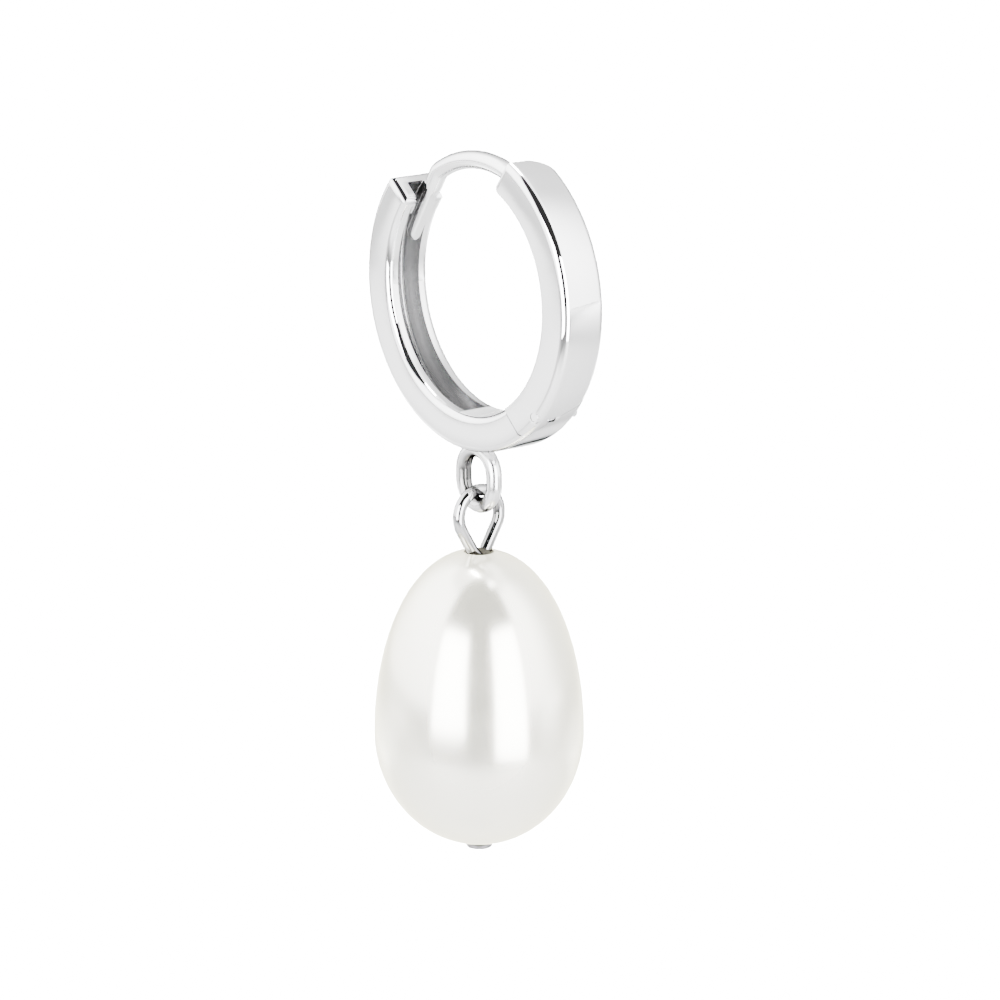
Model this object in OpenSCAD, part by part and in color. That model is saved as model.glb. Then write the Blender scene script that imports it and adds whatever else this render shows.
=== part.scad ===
/* [Hoop] */
// Outer radius of the hoop band
hoop_outer_r = 6.5; // [6.3:0.1:7]
// Thickness of the band, from its inside to its outside
band_t = 1.5; // [1.4:0.05:1.6]
// Width of the band along the axis of the hoop
band_w = 2.1; // [2:0.05:2.3]
// Radius of the two outer edges of the band
outer_edge_r = 0.26; // [0.15:0.01:0.3]
// Radius of the two inner edges of the band
inner_edge_r = 0.1; // [0.05:0.01:0.15]
// Angle at which the front half ends below the ear post
front_end_deg = 64; // [60:1:66]
// Angle at which the back half ends at the catch
back_end_deg = 138.5; // [137:0.5:141]

/* [Channel] */
// Width of the channel along the inside of the back half
channel_w = 1.1; // [1:0.05:1.2]
// Wall left between the channel and the outside of the band
channel_web = 0.4; // [0.35:0.05:0.5]
// Angle at which the channel starts, below the catch block
channel_start_deg = 147; // [146:1:150]
// Angle at which the channel ends, at the hinge block
channel_end_deg = 264; // [258:1:268]
// Width of the slot in the catch block
catch_slot_w = 0.87; // [0.85:0.01:0.9]

/* [Ear post] */
// Diameter of the ear post wire
post_d = 0.75; // [0.7:0.01:0.78]
// Radius of the arc that the middle of the post wire follows
post_arc_r = 5.45; // [5.4:0.01:5.5]
// Angle at which the post bends down into the catch
post_bend_deg = 122; // [118:1:124]
// Thickness of the flattened tip of the post
tip_t = 0.5; // [0.45:0.01:0.6]
// Angle at which the tip ends inside the channel
tip_end_deg = 158; // [154:1:160]
// Radius at which the tip ends inside the channel
tip_end_r = 4.95; // [4.9:0.01:5.05]

/* [Hinge] */
// Angle of the hinge pin around the hoop
hinge_deg = -43.5; // [-46:0.5:-42]
// Distance of the hinge pin from the hoop's centre
hinge_r = 6.22; // [6.2:0.01:6.23]
// Diameter of the hinge pin
hinge_pin_d = 0.34; // [0.3:0.01:0.34]
// Radius of the knuckles around the hinge pin
knuckle_r = 0.265; // [0.26:0.005:0.27]

/* [Drop ring and head pin] */
// Diameter of the wire of the soldered ring
ring_wire_d = 0.65; // [0.6:0.01:0.7]
// Radius of the middle of the ring's wire
ring_r = 1; // [0.95:0.01:1.05]
// Extra height of the ring between its two half circles
ring_stretch = 0.35; // [0.3:0.05:0.5]
// Diameter of the head pin's wire
pin_wire_d = 0.5; // [0.45:0.01:0.52]
// Radius of the middle of the wire in the head pin's loop
loop_r = 1.06; // [1.03:0.01:1.08]
// Diameter of the flat head under the pearl
head_d = 1.1; // [1:0.05:1.3]

/* [Pearl] */
// Largest diameter of the pearl
pearl_d = 8.8; // [8:0.1:9.5]
// Height of the pearl above its widest place
pearl_upper_h = 7.8; // [7.4:0.1:8.2]
// Depth of the pearl below its widest place
pearl_lower_h = 4.85; // [4.5:0.05:5.2]

/* [Hidden] */
$fn = 96;

// The origin is on the middle line of the ear post, where it hangs in the ear
hoop_z = -post_arc_r;
band_inner_r = hoop_outer_r - band_t;
half_w = band_w / 2;
cut = 4;

// The seam of the hinge: angles and offsets around the hinge pin
seam_gap = 0.05;
seam_split = 0.1;
near_slope = 1.36;
far_slope = 0.6;
far_start = 0.2;
dimple_d = 0.2;
block_end_deg = -74;

// The end block and the rounded ends of the two halves
slot_depth = 1;
front_corner_r = 0.5;
back_corner_r = 0.35;
collar_d = 0.98;
collar_deg = 2.5;
notch_r = 0.13;

// The ring under the hoop, in the plane of the hoop
drop_x = -0.3;
ring_bury = 0.17;
ring_top_z = hoop_z - hoop_outer_r + ring_bury - ring_wire_d / 2 - ring_r;
ring_bottom_z = ring_top_z - ring_stretch;
ring_wire_z = ring_bottom_z - ring_r;
solder_d = 1;
solder_h = 0.34;

// The teardrop loop of the head pin, across the ring
link_gap = 0.05;
loop_z = ring_wire_z + (ring_wire_d + pin_wire_d) / 2 + link_gap - loop_r;
pearl_gap = 0.04;
neck_h = 1.46;
neck_half = 0.38;
stem_bend_h = 0.12;
stem_entry = 0.32;
joint_swell = 0.012;
joint_gap = 0.015;
neck_reach = sqrt(neck_half * neck_half + neck_h * neck_h);
tangent_deg = acos(loop_r / neck_reach) - atan(neck_h / neck_half);
tangent_y = loop_r * cos(tangent_deg);
tangent_z = loop_r * sin(tangent_deg);
limb_slope = (tangent_y - neck_half) / (neck_h + tangent_z);
loop_base_z = loop_z - neck_h;
bend_half = neck_half + limb_slope * stem_bend_h;

// The pearl hangs under the loop and rests on the head
pearl_top_z = loop_base_z - pearl_gap;
pearl_mid_z = pearl_top_z - pearl_upper_h;
pearl_bottom_z = pearl_mid_z - pearl_lower_h;
pearl_steps = 24;
hole_d = pin_wire_d + 0.13;
mouth_r = 0.64;
mouth_depth = 0.5;
head_h = 0.24;
head_edge_r = 0.09;
stem_end_z = pearl_bottom_z - head_h;

// Turns a shape drawn flat so that it stands in the hoop's plane, its +Z to the near side
module stand_up() {
    translate([0, 0, hoop_z]) rotate([90, 0, 0]) children();
}

// A point on a circle in the flat drawing
function on_circle(r, deg) = [r * cos(deg), r * sin(deg), 0];

// Section of the band: x is the distance from the axis, y the place across the width
module band_section() {
    translate([band_inner_r + inner_edge_r, -half_w])
        square([band_t - inner_edge_r - outer_edge_r, band_w]);
    translate([band_inner_r, -half_w + inner_edge_r])
        square([2 * inner_edge_r, band_w - 2 * inner_edge_r]);
    translate([hoop_outer_r - 2 * outer_edge_r, -half_w + outer_edge_r])
        square([2 * outer_edge_r, band_w - 2 * outer_edge_r]);
    for (side = [-1, 1]) {
        translate([band_inner_r + inner_edge_r, side * (half_w - inner_edge_r)]) circle(inner_edge_r);
        translate([hoop_outer_r - outer_edge_r, side * (half_w - outer_edge_r)]) circle(outer_edge_r);
    }
}

// Part of a ring around the hoop's axis, drawn flat, whose section is the child
module arc_of(from_deg, to_deg) {
    rotate([0, 0, from_deg]) rotate_extrude(angle = to_deg - from_deg) children();
}

// Moves a child to a place on the band: x outwards, y along the band, z across it
module at_band(r, deg) {
    rotate([0, 0, deg]) translate([r, 0, 0]) children();
}

// Pushes a plan, drawn with x along the band and y across it, from one height to another
module plan_block(low, high) {
    translate([low, 0, 0]) rotate([90, 0, 90]) linear_extrude(high - low) children();
}

// What rounds off the two corners of a band end, seen from outside; the band lies at side * x
module end_corners(corner_r, side) {
    plan_block(-cut, cut) for (across = [-1, 1])
        difference() {
            translate([side * corner_r / 2 - side, across * (half_w - corner_r / 2 + 1)])
                square([corner_r + 2, corner_r + 2], center = true);
            translate([side * corner_r, across * (half_w - corner_r)]) circle(corner_r);
            translate([side * (corner_r + cut), 0]) square([2 * cut, 2 * cut], center = true);
            square([2 * cut, band_w - 2 * corner_r], center = true);
        }
}

// Plan of the back side of the hinge seam; near, far and level shift its three edges
module seam_plan(near, far, level) {
    run = half_w + 1;
    polygon([
        [-3 * cut, run],
        [near - near_slope * (run - seam_split), run],
        [near, seam_split + level],
        [far + far_start, seam_split + level],
        [far + far_start + far_slope * (run + seam_split), -run],
        [-3 * cut, -run]
    ]);
}

// Cone around the hinge pin that rounds the near end of the front half
module near_cone(grow) {
    run = half_w + 1 - seam_split;
    translate([0, 0, seam_split]) cylinder(r1 = grow, r2 = grow + near_slope * run, h = run);
}

// Cone around the hinge pin that rounds the far end of the back half
module far_cone(grow) {
    run = half_w + 1 + seam_split;
    translate([0, 0, -half_w - 1])
        cylinder(r1 = grow + far_start + far_slope * run, r2 = grow + far_start, h = run - seam_gap);
}

// One knuckle on the hinge pin; side 1 is the near one of the front half, -1 the far one
module knuckle(side, r, gap) {
    h = side > 0 ? half_w - seam_split : half_w + seam_split;
    z = side > 0 ? seam_split - gap : -half_w;
    translate([0, 0, z]) cylinder(r = r, h = h + gap);
}

// Room that the hinge seam takes from the front half
module front_seam_cut() {
    plan_block(-cut, 0) seam_plan(0, seam_gap, seam_gap);
    difference() {
        translate([-0.01, -cut, -half_w - 1]) cube([cut, cut, band_w + 2]);
        near_cone(0);
    }
    far_cone(seam_gap);
}

// Room that the hinge seam takes from the back half
module back_seam_cut() {
    difference() {
        translate([-cut, -2 * cut, -half_w - 1]) cube([2 * cut, 4 * cut, band_w + 2]);
        plan_block(-cut - 1, 0) seam_plan(-seam_gap, 0, -seam_gap);
        translate([-0.01, -3 * cut, -half_w - 2]) cube([cut + 1, 3 * cut, band_w + 4]);
        far_cone(0);
    }
    near_cone(seam_gap);
}

// Small dimple beside the near knuckle
module seam_dimple() {
    translate([knuckle_r / 2, 0, seam_split + dimple_d / 2]) rotate([0, 90, 0]) cylinder(d = dimple_d, h = 1);
}

// The pin's hole right through both halves
module hinge_hole() {
    cylinder(d = hinge_pin_d + 0.06, h = 4 * half_w, center = true);
}

// The post's arc, its bend and its flattened tip, drawn flat
module ear_post() {
    bend = on_circle(post_arc_r, post_bend_deg);
    tip_end = on_circle(tip_end_r, tip_end_deg);
    run = tip_end - bend;
    run_len = norm(run);
    arc_of(front_end_deg - 4, post_bend_deg) translate([post_arc_r, 0]) circle(d = post_d);
    arc_of(front_end_deg - 2, front_end_deg + collar_deg) translate([post_arc_r, 0]) circle(d = collar_d);
    at_band(post_arc_r, front_end_deg + collar_deg) sphere(d = collar_d);
    translate(bend) sphere(d = post_d);
    translate(bend) rotate([0, 0, atan2(run[1], run[0])]) difference() {
        union() {
            rotate([0, 90, 0]) cylinder(d = post_d, h = run_len);
            translate([run_len, 0, 0]) sphere(d = post_d);
        }
        for (side = [-1, 1])
            translate([0.35 * run_len, side * (tip_t / 2 + 1) - 1, -1]) cube([run_len, 2, 2]);
        translate([0.74 * run_len, -tip_t / 2, 0]) cylinder(r = notch_r, h = 2, center = true);
    }
}

// Front half: solid band, ear post and near knuckle in one
module front_half() {
    color("gainsboro") stand_up() difference() {
        union() {
            difference() {
                arc_of(block_end_deg, front_end_deg) band_section();
                at_band(hinge_r, hinge_deg) front_seam_cut();
                at_band(0, front_end_deg) mirror([0, 1, 0]) end_corners(front_corner_r, 1);
            }
            at_band(hinge_r, hinge_deg) knuckle(1, knuckle_r, 0);
            ear_post();
        }
        at_band(hinge_r, hinge_deg) seam_dimple();
        at_band(hinge_r, hinge_deg) knuckle(-1, knuckle_r + seam_gap, seam_gap);
        at_band(hinge_r, hinge_deg) hinge_hole();
    }
}

// Stretched ring in the hoop's plane, soldered under the back half
module drop_ring() {
    translate([drop_x, 0, ring_top_z]) rotate([90, 0, 0]) rotate_extrude(angle = 180)
        translate([ring_r, 0]) circle(d = ring_wire_d);
    translate([drop_x, 0, ring_bottom_z]) rotate([90, 0, 0]) rotate([0, 0, 180]) rotate_extrude(angle = 180)
        translate([ring_r, 0]) circle(d = ring_wire_d);
    for (side = [-1, 1])
        translate([drop_x + side * ring_r, 0, ring_bottom_z]) cylinder(d = ring_wire_d, h = ring_stretch);
    translate([drop_x, 0, ring_top_z + ring_r - solder_h / 2]) cylinder(d = solder_d, h = solder_h + 0.3);
}

// Back half: band with a channel, catch block, far knuckle and soldered drop ring in one
module back_half() {
    color("gainsboro") {
        stand_up() difference() {
            union() {
                difference() {
                    arc_of(back_end_deg, 360 + hinge_deg + 15) band_section();
                    at_band(hinge_r, hinge_deg) back_seam_cut();
                    at_band(0, back_end_deg) end_corners(back_corner_r, 1);
                }
                at_band(hinge_r, hinge_deg) knuckle(-1, knuckle_r, 0);
            }
            arc_of(channel_start_deg, channel_end_deg) translate([band_inner_r - 1, -channel_w / 2])
                square([band_t - channel_web + 1, channel_w]);
            arc_of(back_end_deg - 5, channel_start_deg + 1) translate([band_inner_r - 1, -catch_slot_w / 2])
                square([slot_depth + 1, catch_slot_w]);
            at_band(hinge_r, hinge_deg) knuckle(1, knuckle_r + seam_gap, seam_gap);
            at_band(hinge_r, hinge_deg) hinge_hole();
        }
        drop_ring();
    }
}

// Hinge pin, flush with both faces of the band
module hinge_pin() {
    color("silver") stand_up() at_band(hinge_r, hinge_deg)
        cylinder(d = hinge_pin_d, h = band_w - 0.04, center = true);
}

// Straight piece of head pin wire between two points
module wire(from, to) {
    step = to - from;
    len = norm(step);
    translate(from) rotate([0, acos(step[2] / len), atan2(step[1], step[0])]) cylinder(d = pin_wire_d, h = len);
}

// Rounded joint between two pieces of head pin wire, a hair thicker than the wire
module joint(at) {
    translate(at) sphere(d = pin_wire_d + joint_swell);
}

// Head pin: teardrop loop through the ring, stem through the pearl and a flat head
module head_pin() {
    bend = [0, -bend_half, loop_base_z + stem_bend_h];
    entry = [0, 0, loop_base_z - stem_entry];
    color("silver") translate([drop_x, 0, 0]) {
        translate([0, 0, loop_z]) rotate([90, 0, 90]) rotate([0, 0, tangent_deg])
            rotate_extrude(angle = 180 - 2 * tangent_deg) translate([loop_r, 0]) circle(d = pin_wire_d);
        for (side = [-1, 1]) {
            top = [0, side * tangent_y, loop_z + tangent_z];
            low = [0, side * bend_half, loop_base_z + stem_bend_h];
            joint(top);
            wire(top + joint_gap * (low - top), low);
        }
        joint(bend);
        wire(bend, entry);
        joint(entry);
        translate([0, 0, stem_end_z + head_h / 2])
            cylinder(d = pin_wire_d, h = entry[2] - stem_end_z - head_h / 2);
        translate([0, 0, stem_end_z]) rotate_extrude() {
            translate([0, head_edge_r]) square([head_d / 2, head_h - pearl_gap - head_edge_r]);
            square([head_d / 2 - head_edge_r, head_h - pearl_gap]);
            translate([head_d / 2 - head_edge_r, head_edge_r]) circle(head_edge_r);
        }
    }
}

// Outline of the pearl: an ellipse below, a slightly fuller pointed curve above
pearl_lower = [for (i = [0 : pearl_steps]) let (u = 90 * i / pearl_steps)
    [pearl_d / 2 * sin(u), -pearl_lower_h * cos(u)]];
pearl_upper = [for (i = [1 : pearl_steps]) let (u = 90 * i / pearl_steps)
    [pearl_d / 2 * pow(cos(u), 0.9), pearl_upper_h * sin(u)]];

// Pearl: egg form, drilled through and opened a little at the top
module pearl() {
    color("ivory") translate([drop_x, 0, pearl_mid_z]) difference() {
        rotate_extrude() polygon(concat(pearl_lower, pearl_upper));
        cylinder(d = hole_d, h = 4 * pearl_upper_h, center = true);
        translate([0, 0, pearl_upper_h - mouth_depth])
            cylinder(r1 = hole_d / 2, r2 = mouth_r + 0.03, h = mouth_depth + 0.04);
    }
}

front_half();
back_half();
hinge_pin();
head_pin();
pearl();
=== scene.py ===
# %% [markdown]
# A pearl drop earring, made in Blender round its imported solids.
# The real thing is a small hinged hoop of polished silver. A ring is soldered under it, and an egg-shaped
# pearl hangs from that ring on one bent wire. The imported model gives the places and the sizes. It is cut
# into small flat triangles, though, and a mirror polish shows every one of them. So each piece is made
# again here from the same sizes, with fine even faces.

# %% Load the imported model
import math

import bmesh
import bpy
from mathutils import Matrix, Vector


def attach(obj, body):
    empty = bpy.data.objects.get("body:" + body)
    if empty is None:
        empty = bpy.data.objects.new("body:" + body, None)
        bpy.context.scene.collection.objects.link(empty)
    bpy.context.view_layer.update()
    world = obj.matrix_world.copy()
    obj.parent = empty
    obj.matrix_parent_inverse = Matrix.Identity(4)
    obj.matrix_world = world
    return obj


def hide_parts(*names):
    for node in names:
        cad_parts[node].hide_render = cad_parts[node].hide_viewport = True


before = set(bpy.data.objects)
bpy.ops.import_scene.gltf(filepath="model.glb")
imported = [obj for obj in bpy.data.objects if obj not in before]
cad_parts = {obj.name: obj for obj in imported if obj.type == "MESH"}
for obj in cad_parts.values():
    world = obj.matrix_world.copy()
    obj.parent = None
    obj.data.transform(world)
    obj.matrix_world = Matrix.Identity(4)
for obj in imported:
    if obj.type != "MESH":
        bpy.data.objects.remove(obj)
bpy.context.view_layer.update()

print("packed nodes:", sorted(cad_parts))

# %% [markdown]
# The camera stands where the photograph was taken from: turned about fifty degrees round the hoop and a
# little above it. A long lens from close to 20 cm keeps the slight perspective of the photograph. The view
# was worked out from the two circles of the hoop, so it is set from those numbers and not by eye.

# %% Camera
MM = 0.001
HOOP_Z, HOOP_R, INNER_R, HALF_WIDTH = -5.45, 6.5, 5.0, 1.05

CAMERA_AZIMUTH = math.radians(51.16)
CAMERA_ELEVATION = math.radians(14.10)
CAMERA_DISTANCE = 195.0
AIM_RIGHT, AIM_UP = 0.6825, -8.489

toward_camera = Vector((
    math.sin(CAMERA_AZIMUTH) * math.cos(CAMERA_ELEVATION),
    -math.cos(CAMERA_AZIMUTH) * math.cos(CAMERA_ELEVATION),
    math.sin(CAMERA_ELEVATION),
))
camera_right = Vector((math.cos(CAMERA_AZIMUTH), math.sin(CAMERA_AZIMUTH), 0.0))
camera_up = camera_right.cross(-toward_camera)
aim = Vector((0, 0, HOOP_Z)) + camera_right * AIM_RIGHT + camera_up * AIM_UP

camera_data = bpy.data.cameras.new("camera")
camera_data.sensor_width = 36.0
camera_data.lens = 171.83
camera_data.clip_start = 0.01
camera = bpy.data.objects.new("camera", camera_data)
bpy.context.collection.objects.link(camera)
camera.matrix_world = Matrix.LocRotScale(
    (aim + toward_camera * CAMERA_DISTANCE) * MM,
    Matrix((camera_right, camera_up, toward_camera)).transposed().to_quaternion(),
    None,
)
bpy.context.scene.camera = camera
print("camera at", [round(v, 4) for v in camera.matrix_world.translation])

# %% [markdown]
# The room, the finishes and the shapes are all built from nodes. These few helpers add a node, feed its
# sockets from other nodes or with plain values, and return the socket that comes out.

# %% Helpers for nodes


def input_of(node, name):
    """The socket of a node by its name."""
    return next(s for s in node.inputs if s.name == name and s.enabled)


def add_node(tree, kind, inputs=None, **settings):
    """A new node with its settings and its plain input values."""
    node = tree.nodes.new(kind)
    for key, value in settings.items():
        setattr(node, key, value)
    for key, value in (inputs or {}).items():
        input_of(node, key).default_value = value
    return node


def feed(tree, *pairs):
    """Feeds each (value, socket) pair: a socket is linked, a plain value is set."""
    for value, socket in pairs:
        if isinstance(value, bpy.types.NodeSocket):
            tree.links.new(value, socket)
        else:
            socket.default_value = value


def math_node(tree, operation, *values):
    """One arithmetic step; each value is a number or a socket."""
    node = add_node(tree, "ShaderNodeMath", operation=operation)
    feed(tree, *zip(values, node.inputs))
    return node.outputs[0]


def vector_node(tree, operation, *values):
    """One step with directions or places; its result is a vector, or a number for a measure."""
    node = add_node(tree, "ShaderNodeVectorMath", operation=operation)
    feed(tree, *zip(values, node.inputs))
    return node.outputs["Value" if operation in ("DOT_PRODUCT", "LENGTH") else "Vector"]


def mixed(tree, kind, share, a, b):
    """Two colours (RGBA) or two numbers (FLOAT) mixed by a share."""
    node = add_node(tree, "ShaderNodeMix", data_type=kind)
    first, result = (6, 2) if kind == "RGBA" else (2, 0)
    feed(tree, (share, node.inputs[0]), (a, node.inputs[first]), (b, node.inputs[first + 1]))
    return node.outputs[result]


def fade(tree, value, low, high, at_low, at_high, kind="SMOOTHSTEP"):
    """A step of a value, soft or LINEAR: at_low up to low, at_high from high on."""
    step = add_node(tree, "ShaderNodeMapRange", {"From Min": low, "From Max": high}, interpolation_type=kind)
    feed(tree, (value, step.inputs["Value"]), (at_low, step.inputs["To Min"]), (at_high, step.inputs["To Max"]))
    return step.outputs["Result"]


def piece_noise(tree, scale, detail, roughness=0.5, stretch=None):
    """Noise that sits on its piece, because it reads the place on the object in metres."""
    place = add_node(tree, "ShaderNodeTexCoord").outputs["Object"]
    if stretch:
        place = vector_node(tree, "MULTIPLY", place, stretch)
    noise = add_node(tree, "ShaderNodeTexNoise", {"Scale": scale, "Detail": detail, "Roughness": roughness})
    tree.links.new(place, noise.inputs["Vector"])
    return noise.outputs["Fac"]


def new_finish(name, values):
    """A material with its tree and its shader, whose plain values are set."""
    finish = bpy.data.materials.new(name)
    finish.use_nodes = True
    shader = finish.node_tree.nodes["Principled BSDF"]
    feed(finish.node_tree, *[(value, shader.inputs[label]) for label, value in values.items()])
    return finish, finish.node_tree, shader


def new_mesh(name, points, faces):
    """A mesh from plain lists."""
    mesh = bpy.data.meshes.new(name)
    mesh.from_pydata(points, [], faces)
    return mesh


def new_object(data, name="blank"):
    """An object that carries a mesh, a path or a light."""
    thing = bpy.data.objects.new(name, data)
    bpy.context.collection.objects.link(thing)
    return thing


def cosine(degrees):
    """Cosine of an angle in degrees."""
    return math.cos(math.radians(degrees))


def toward(azimuth_off):
    """Level direction away from the earring; its azimuth is counted from the camera's, to the right."""
    azimuth = CAMERA_AZIMUTH + math.radians(azimuth_off)
    return Vector((math.sin(azimuth), -math.cos(azimuth), 0))


print("to the right of the camera:", [round(v, 3) for v in toward(90)])

# %% [markdown]
# Polished metal has almost no colour of its own: it shows the room. So the room comes before the metal. The
# earring hangs over plain paper, and the flat sides mirror it, so its tone matters. Light and shade are painted
# into the paper's colour: a painted pool of light under the earring, painted shade further out and much darker
# painted shade in front, which gives the wires their outlines. Towards its far edge painted light makes it
# lighter again, where the eye should not find a horizon.

# %% Floor
FLOOR_Z, FLOOR_HALF = -60.0, 0.56
# Painted light and shade in the floor's colour: light near the earring and at the far edge, shade further out
# and in front.
NEAR_TONE, FAR_TONE, FRONT_SHADE, EDGE_LIFT = 0.5, 0.35, 0.3, 1.75
TONE_FADE, EDGE_FADE, SHADE_FADE = (0.1, 0.18), (0.26, 0.62), (0.045, 0.11)

corners = [(x * FLOOR_HALF, y * FLOOR_HALF, FLOOR_Z * MM) for x, y in ((-1, -1), (1, -1), (1, 1), (-1, 1))]
floor = new_object(new_mesh("floor", corners, [(0, 1, 2, 3)]), "floor")
paper, paper_tree, paper_shader = new_finish("pale_paper", {"Roughness": 0.6})
spot = add_node(paper_tree, "ShaderNodeTexCoord").outputs["Object"]
away = vector_node(paper_tree, "LENGTH", spot)
ahead = vector_node(paper_tree, "DOT_PRODUCT", spot, toward(0))
grain = add_node(paper_tree, "ShaderNodeTexNoise", {"Scale": 40.0, "Detail": 3.0}).outputs["Fac"]
# The floor's colour carries painted shade in front, a painted pool of light near the earring and painted light
# at its far edge; only the grain is the paper's own.
paper_tone = fade(paper_tree, ahead, *SHADE_FADE, 1.0, FRONT_SHADE)
for part in (
    fade(paper_tree, away, *TONE_FADE, NEAR_TONE, FAR_TONE),
    fade(paper_tree, away, *EDGE_FADE, 1.0, EDGE_LIFT),
    fade(paper_tree, grain, 0.0, 1.0, 0.97, 1.02, "LINEAR"),
):
    paper_tone = math_node(paper_tree, "MULTIPLY", paper_tone, part)
paper_tree.links.new(paper_tone, paper_shader.inputs["Base Color"])
floor.data.materials.append(paper)
print("floor at", FLOOR_Z, "mm,", 2 * FLOOR_HALF, "m wide")

# %% [markdown]
# A photographer would hang the earring in a white tent, with the camera looking in through a dark gap. Here
# the world is that tent. Its walls are bright beside the camera and dimmer behind the earring. The dark gap
# draws the black lines along the rounded edges of the hoop. All of it is soft steps between two values.

# %% White tent with a dark gap
WALL_LIGHT, BACK_LIGHT, CEILING_LIGHT, GAP_LIGHT = 8.0, 2.3, 4.5, 0.05
GAP_FROM, GAP_FULL = 60.0, 51.0
BACK_AZIMUTH, BACK_FROM, BACK_FULL = 155.0, 80.0, 30.0
LOW_WALL, WALL_RISE, ROOF_RISE = 0.85, (-0.05, 0.4), (0.8, 0.9)

world = bpy.data.worlds.new("tent")
bpy.context.scene.world = world
world.use_nodes = True
tent = world.node_tree
looking = add_node(tent, "ShaderNodeTexCoord").outputs["Generated"]
bearing = vector_node(tent, "NORMALIZE", vector_node(tent, "MULTIPLY", looking, (1, 1, 0)))
before_us = vector_node(tent, "DOT_PRODUCT", bearing, toward(0))
behind_it = vector_node(tent, "DOT_PRODUCT", bearing, toward(BACK_AZIMUTH))
height = vector_node(tent, "DOT_PRODUCT", looking, (0, 0, 1))
walls = fade(tent, behind_it, cosine(BACK_FROM), cosine(BACK_FULL), WALL_LIGHT, BACK_LIGHT)
lifted = math_node(tent, "MULTIPLY", walls, fade(tent, height, *WALL_RISE, LOW_WALL, 1.0))
roofed = fade(tent, height, *ROOF_RISE, lifted, CEILING_LIGHT)
gapped = fade(tent, before_us, cosine(GAP_FROM), cosine(GAP_FULL), roofed, GAP_LIGHT)
sky = tent.nodes["Background"].inputs
feed(tent, (gapped, sky["Strength"]), ((1, 1, 1, 1), sky["Color"]))
print("walls", WALL_LIGHT, "back", BACK_LIGHT, "ceiling", CEILING_LIGHT, "gap", GAP_LIGHT)

# %% [markdown]
# Two tall soft boxes stand in the gap beside the camera and draw the two long lights on the pearl. A small
# box overhead makes the light near its top. A long box behind shines down on the paper in a narrow sweep, so
# that the background is white. The washes are soft round pools of light on the paper, where the hoop
# mirrors it.

# %% Soft boxes and washes
STRIPS = (("strip_left", -33.5, 82.0, -44.0, 56.0), ("strip_right", 35.5, 76.0, -64.0, 60.0))
STRIP_DISTANCE, STRIP_LIGHT = 120.0, 20.0
TOP_HEIGHT, TOP_BACK, TOP_SIZE, TOP_LIGHT = 150.0, 25.0, 45.0, 70.0
SWEEP_HEIGHT, SWEEP_BACK, SWEEP_WIDTH, SWEEP_LENGTH = 20.0, 290.0, 160.0, 480.0
SWEEP_SPREAD, SWEEP_POWER = 20.0, 12.0
WASH_BLEND, WASH_RADIUS = 0.9, 0.02
WASHES = (
    ("wash_left", -102.0, 228.0, 220.0, 23.0, 14.5),
    ("wash_right", 78.0, 520.0, 330.0, 50.0, 95.0),
    ("wash_middle", 82.0, 215.0, 200.0, 26.0, 6.0),
    ("edge_left", -128.0, 130.0, 160.0, 22.0, 14.0),
    ("edge_right", 132.0, 130.0, 160.0, 22.0, 8.0),
)
DOWN = Vector((0, 0, -1))


def soft_box(name, place, facing, width, height, radiance):
    """A flat light at a place in mm that shines along a direction, with the brightness of its face."""
    light = new_object(bpy.data.lights.new(name, "AREA"), name)
    light.data.shape = "RECTANGLE"
    light.data.size, light.data.size_y = width * MM, height * MM
    light.data.energy = radiance * math.pi * light.data.size * light.data.size_y
    light.matrix_world = Matrix.LocRotScale(place * MM, (-facing).to_track_quat("Z", "Y"), None)
    return light


for name, azimuth_off, width, low, high in STRIPS:
    out_there = toward(azimuth_off)
    place = out_there * STRIP_DISTANCE + Vector((0, 0, (low + high) / 2))
    soft_box(name, place, -out_there, width, high - low, STRIP_LIGHT)
behind = toward(180)
soft_box("top_box", behind * TOP_BACK - DOWN * TOP_HEIGHT, DOWN, TOP_SIZE, TOP_SIZE, TOP_LIGHT)
sweep_place = behind * SWEEP_BACK - DOWN * SWEEP_HEIGHT
sweep = soft_box("sweep_box", sweep_place, DOWN, SWEEP_WIDTH, SWEEP_LENGTH, 1.0)
sweep.data.energy, sweep.data.spread = SWEEP_POWER, math.radians(SWEEP_SPREAD)
sweep.matrix_world = Matrix.Translation(sweep_place * MM) @ Matrix.Rotation(CAMERA_AZIMUTH, 4, "Z")
for name, azimuth_off, distance, height, half_angle, watts in WASHES:
    wash = new_object(bpy.data.lights.new(name, "SPOT"), name)
    wash.data.energy, wash.data.spot_size = watts, math.radians(2 * half_angle)
    wash.data.spot_blend, wash.data.shadow_soft_size = WASH_BLEND, WASH_RADIUS
    place = toward(azimuth_off) * distance + Vector((0, 0, FLOOR_Z + height))
    wash.matrix_world = Matrix.Translation(place * MM)
print("soft boxes:", len(STRIPS) + 2, "washes:", len(WASHES))

# %% [markdown]
# The silver is a plain mirror with a life: a little haze from handling, hair-fine polishing lines, and soft
# waves where the buff leaned in. The wire is drawn and not buffed, so it is a little rougher, and its tone is
# set much darker than the mirror's: a shaded copy of the silver, painted shade. A buff does not reach
# everywhere. The channel stays raw from the file and rougher. Its darker tone, with streaks along the cut, is
# painted shade with painted reflections of the groove. The inside of the hinge block keeps the matte white of
# the pickling bath. Painted shade, a near-black tone, darkens the insides of the loops, the slot and the
# channel's near wall. Those places are written on the pieces later, as attributes, and one set of nodes reads
# them here.
# The pearl is nacre, thin layers that scatter light and mirror it too. Part metal, part body and a warm sheen
# give that look without any picture. The drilled hole is left raw and rougher, and it is painted dark as its
# shade.

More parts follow.
